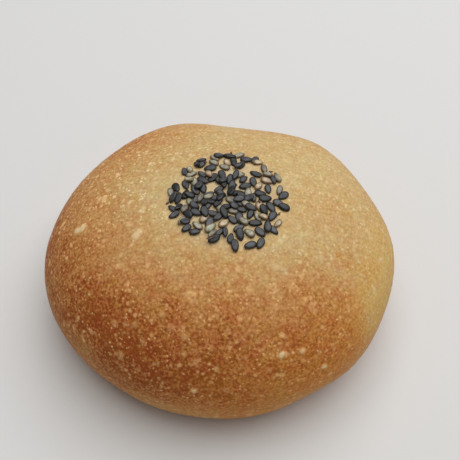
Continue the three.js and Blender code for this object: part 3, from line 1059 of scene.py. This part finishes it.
def side_mask(tree, outwards, side):
    """How strongly a side shows on the crust, by how nearly the crust faces it."""
    across, above = math.radians(side["at"]), math.radians(side["above"])
    way = (math.cos(above) * math.cos(across), math.cos(above) * math.sin(across), math.sin(above))
    facing = vector_maths(tree, "DOT_PRODUCT", outwards, way, output="Value")
    return ranged(tree, facing, side["reach"], 1, 0, side["more"])


def bent_specks(tree, coordinates):
    """The masks of the fine, the medium and the large specks, their outlines bent uneven."""
    scale = 1 / (SPECK_BEND * MM)
    bends = add_node(tree, "TexNoise", {"Vector": coordinates, "Scale": scale, "Detail": 1}, "Color")
    bends = vector_maths(tree, "SUBTRACT", bends, (0.5, 0.5, 0.5))
    bent = vector_maths(tree, "MULTIPLY_ADD", bends, (SPECK_BEND * MM,) * 3, coordinates)
    return [add_group(tree, "Specks", build_specks, {
        "Vector": bent, "Per metre": 1 / (kind["spacing"] * MM), "Radius": kind["radius"],
        "Share": kind["share"]})["Mask"] for kind in SPECKS]


def read_crust(tree, coordinates, shape, shift):
    """Where each place lies on the bun, how far it is baked there, and the patterns that run over it."""
    crust = SimpleNamespace(places=coordinates)
    middle = (*shift, shape.shoulder)
    stretch = (1 / shape.half_length, 1 / shape.half_width, 1 / (shape.height - shape.shoulder))
    from_middle = vector_maths(tree, "SUBTRACT", coordinates, middle)
    crust.round_bun = vector_maths(tree, "MULTIPLY", from_middle, stretch)
    crust.outwards = vector_maths(tree, "NORMALIZE", crust.round_bun)
    crust.height = add_node(tree, "SeparateXYZ", {"Vector": coordinates}, output="Z")
    crust.broad = noise(tree, coordinates, BROAD["size"], 3)
    crust.small = noise(tree, coordinates, SMALL["size"])
    crust.grain = noise(tree, coordinates, GRAIN["size"])
    crust.specks = bent_specks(tree, coordinates)
    baked = read_values(tree, "browner")
    for side in BAKED_SIDES:
        baked = maths(tree, "ADD", baked, side_mask(tree, crust.outwards, side))
    crust.baked = maths(tree, "ADD", baked, varied(tree, crust.broad, BROAD["baking"], BAKED_ALL_OVER))
    crust.contrast = maths(tree, "MULTIPLY_ADD", crust.baked, CONTRAST["more"], CONTRAST["pale"])
    crust.grained = varied(tree, crust.grain, GRAIN["baking"])
    # Painted shade of the crust's fine relief, on top of the grain's own tone: this lightens and darkens the
    # colour
    crust.shade = maths(tree, "MULTIPLY_ADD", crust.grained, crust.contrast, 1.0)
    return crust


def baked_color(tree, crust, finish):
    """The crust's colour from pale to dark, by how far it is baked there."""
    level = maths(tree, "ADD", crust.baked, varied(tree, crust.small, SMALL["baking"]))
    level = maths(tree, "SUBTRACT", level, maths(tree, "MULTIPLY", crust.grained, crust.baked))
    ramp = tree.nodes.new("ShaderNodeValToRGB")
    fill_inputs(tree, ramp, {"Fac": level})
    stops = ramp.color_ramp.elements
    while len(stops) < len(BAKED_STOPS):
        stops.new(0.5)
    for number, position in enumerate(BAKED_STOPS):
        stops[number].position = position
        stops[number].color = getattr(finish, f"baked_{number}")
    return ramp.outputs["Color"]


def tinted(tree, crust, finish, color):
    """The colour with the crust's honey and straw sides, whose glow and light are partly painted, its rim,
    its small tints, and its fine grain with painted shade of its relief.
    """
    # The honey sides: the crust's own honey colour with a painted warm glow over it
    for side in HONEY_AND_GLOW_SIDES:
        color = mixed(tree, side_mask(tree, crust.outwards, side), color, finish.honey)
    # Painted light, with the pale crust's colour: the straw side is made lighter as if more light fell on it
    color = mixed(tree, side_mask(tree, crust.outwards, STRAW_AND_PAINTED_LIGHT_SIDE), color, finish.straw)
    on_rim = ranged(tree, crust.height, RIM_TURN[0] * MM, RIM_TURN[1] * MM, 0, RIM_SHARE)
    color = mixed(tree, on_rim, color, finish.rim)
    hue = varied(tree, noise(tree, crust.places, TINTS["size"], 1), TINTS["hue"], SAME_HUE)
    return add_node(tree, "HueSaturation", {"Hue": hue, "Value": crust.shade, "Color": color})


def specked(tree, crust, speck, color):
    """The colour with specks over it, which crowd in places and show most on their own side."""
    crowd = noise(tree, crust.places, CROWDS["size"])
    crowd = ranged(tree, crowd, CROWDS["from"], CROWDS["to"], CROWDS["least"], CROWDS["most"])
    strength = maths(tree, "ADD", crust.contrast, side_mask(tree, crust.outwards, SPECKLED_SIDE))
    strength = maths(tree, "MULTIPLY", crowd, strength)
    for mask, kind in zip(crust.specks, SPECKS):
        shown = maths(tree, "MULTIPLY", maths(tree, "MULTIPLY", mask, kind["strength"]), strength)
        color = mixed(tree, shown, color, speck)
    return color


def blistered(tree, finish, speck, color):
    """The colour with the pale crust between the seeds, and with the white skin of all that stands out."""
    shaded = maths(tree, "MULTIPLY", read_values(tree, "shaded"), SHADED_SHARE)
    color = mixed(tree, shaded, color, finish.shaded)
    white = read_values(tree, "white")
    skin = mixed(tree, ranged(tree, white, *WHITE_TURN), speck, finish.blister)
    return mixed(tree, maths(tree, "MULTIPLY", white, WHITE_SHARE), color, skin)


def foot_color(tree, crust, finish):
    """The underside's colour, pale in its middle and browner in a patchy ring."""
    flat = vector_maths(tree, "MULTIPLY", crust.round_bun, (1, 1, 0))
    ring = ranged(tree, vector_maths(tree, "LENGTH", flat, output="Value"), *FOOT_RING)
    ring = maths(tree, "MULTIPLY", ring, varied(tree, crust.broad, BROAD["ring"], RING_MIDDLE))
    color = mixed(tree, ring, finish.under, finish.under_edge)
    # The foot's grain, too, is partly painted shade of its fine relief
    return add_node(tree, "HueSaturation", {"Value": crust.shade, "Color": color})


def crust_material(finish, shape, shift):
    """The baked crust, with its specks and blisters, and its foot."""
    material, tree, shader, coordinates = new_material("baked crust")
    crust = read_crust(tree, coordinates, shape, shift)
    speck = mixed(tree, ranged(tree, crust.baked, *SPECK_TURN), finish.blister, finish.speck)
    color = tinted(tree, crust, finish, baked_color(tree, crust, finish))
    color = blistered(tree, finish, speck, specked(tree, crust, speck, color))
    on_foot = ranged(tree, crust.height, FOOT_TURN[0] * MM, FOOT_TURN[1] * MM)
    color = mixed(tree, on_foot, color, foot_color(tree, crust, finish))
    fine, medium, _ = crust.specks
    relief = maths(tree, "MULTIPLY_ADD", crust.grain, CRUST_RELIEF["grain"], maths(tree, "ADD", fine, medium))
    bump = add_node(tree, "Bump", {
        "Strength": CRUST_RELIEF["strength"], "Distance": CRUST_RELIEF["depth"] * MM, "Height": relief})
    roughness = varied(tree, crust.small, SMALL["roughness"], finish.roughness)
    fill_inputs(tree, shader, {
        "Base Color": color, "Roughness": roughness, "Specular IOR Level": finish.sheen, "Normal": bump})
    return material


def seed_material(name, color, outline, tone_spread):
    """A satin husk of that colour, darker round its edge with a rim and painted shade, with tones that differ
    by that share.
    """
    material, tree, shader, coordinates = new_material(name)
    husk = add_group(tree, "Husk", build_husk, {
        "Vector": coordinates, "Color": color, "Tone": read_values(tree, "tone"),
        "Tone spread": tone_spread, "Edge": read_values(tree, "edge"), "Outline": outline})
    bump = add_node(tree, "Bump", {
        "Strength": HUSK_RELIEF["strength"], "Distance": HUSK_RELIEF["depth"] * MM,
        "Height": husk["Relief"]})
    fill_inputs(tree, shader, {
        "Base Color": husk["Color"], "Roughness": husk["Roughness"], "Normal": bump})
    return material


# The stage


class ROLL_OT_stage(bpy.types.Operator):
    """Sets the pale floor, the soft light and the camera."""

    bl_idname = "roll.stage"
    bl_label = "Stage"

    def execute(self, context):
        stage = context.scene.roll_stage
        select_nothing()
        bpy.ops.mesh.primitive_circle_add(vertices=96, radius=4, fill_type="NGON", location=(0, 0, 0))
        floor = bpy.context.object
        floor.name = "floor"
        material, tree, shader, _ = new_material("floor")
        fill_inputs(tree, shader, {"Base Color": stage.floor, "Roughness": 0.9})
        floor.data.materials.append(material)
        sky = bpy.data.worlds.new("soft sky")
        sky.use_nodes = True
        background = sky.node_tree.nodes["Background"]
        fill_inputs(sky.node_tree, background, {"Color": (1, 1, 1, 1), "Strength": stage.sky})
        context.scene.world = sky
        bpy.ops.object.light_add(type="AREA", location=stage.lamp_place)
        lamp = bpy.context.object
        lamp.name = "soft_lamp"
        lamp.data.energy = stage.lamp
        lamp.data.size = stage.lamp_size
        lamp.rotation_euler = lamp.location.to_track_quat("Z", "Y").to_euler()
        back = Vector((0, -math.cos(stage.elevation), math.sin(stage.elevation)))
        bpy.ops.object.camera_add(
            location=Vector(stage.aim) + back * stage.distance,
            rotation=(math.pi / 2 - stage.elevation, 0, 0))
        camera = bpy.context.object
        camera.name = "camera"
        camera.data.lens = stage.lens
        camera.data.sensor_width = 36
        camera.data.clip_start = 0.01
        context.scene.camera = camera
        context.scene.view_settings.view_transform = "Standard"
        return {"FINISHED"}


class ROLL_PT_panel(bpy.types.Panel):
    """Lists the pieces and their settings."""

    bl_label = "Bread roll"
    bl_idname = "ROLL_PT_panel"
    bl_space_type = "VIEW_3D"
    bl_region_type = "UI"
    bl_category = "Bread roll"

    def draw(self, context):
        layout = self.layout
        for operator, settings in STEPS:
            layout.operator(operator.bl_idname)
            for name in settings:
                group = getattr(context.scene, name)
                for field in group.bl_rna.properties:
                    if field.identifier not in ("rna_type", "name"):
                        layout.prop(group, field.identifier)


SETTINGS = {
    "roll_shape": RollShape,
    "crust_finish": CrustFinish,
    "seed_shape": SeedShape,
    "roll_stage": StageSettings,
}
STEPS = [
    (ROLL_OT_crust, ["roll_shape", "crust_finish"]),
    (ROLL_OT_seeds, ["seed_shape"]),
    (ROLL_OT_seed_bits, []),
    (ROLL_OT_stage, ["roll_stage"]),
]


def register():
    """Registers the settings, the operators and the panel."""
    for group in SETTINGS.values():
        bpy.utils.register_class(group)
    for name, group in SETTINGS.items():
        setattr(bpy.types.Scene, name, bpy.props.PointerProperty(type=group))
    for operator, _ in STEPS:
        bpy.utils.register_class(operator)
    bpy.utils.register_class(ROLL_PT_panel)


def unregister():
    """Takes them away again, the last one first."""
    bpy.utils.unregister_class(ROLL_PT_panel)
    for operator, _ in reversed(STEPS):
        bpy.utils.unregister_class(operator)
    for name in SETTINGS:
        delattr(bpy.types.Scene, name)
    for group in reversed(SETTINGS.values()):
        bpy.utils.unregister_class(group)


def main():
    """Makes every piece and the stage."""
    register()
    bpy.ops.roll.crust()
    bpy.ops.roll.seeds()
    bpy.ops.roll.seed_bits()
    bpy.ops.roll.stage()


if __name__ == "__main__":
    main()
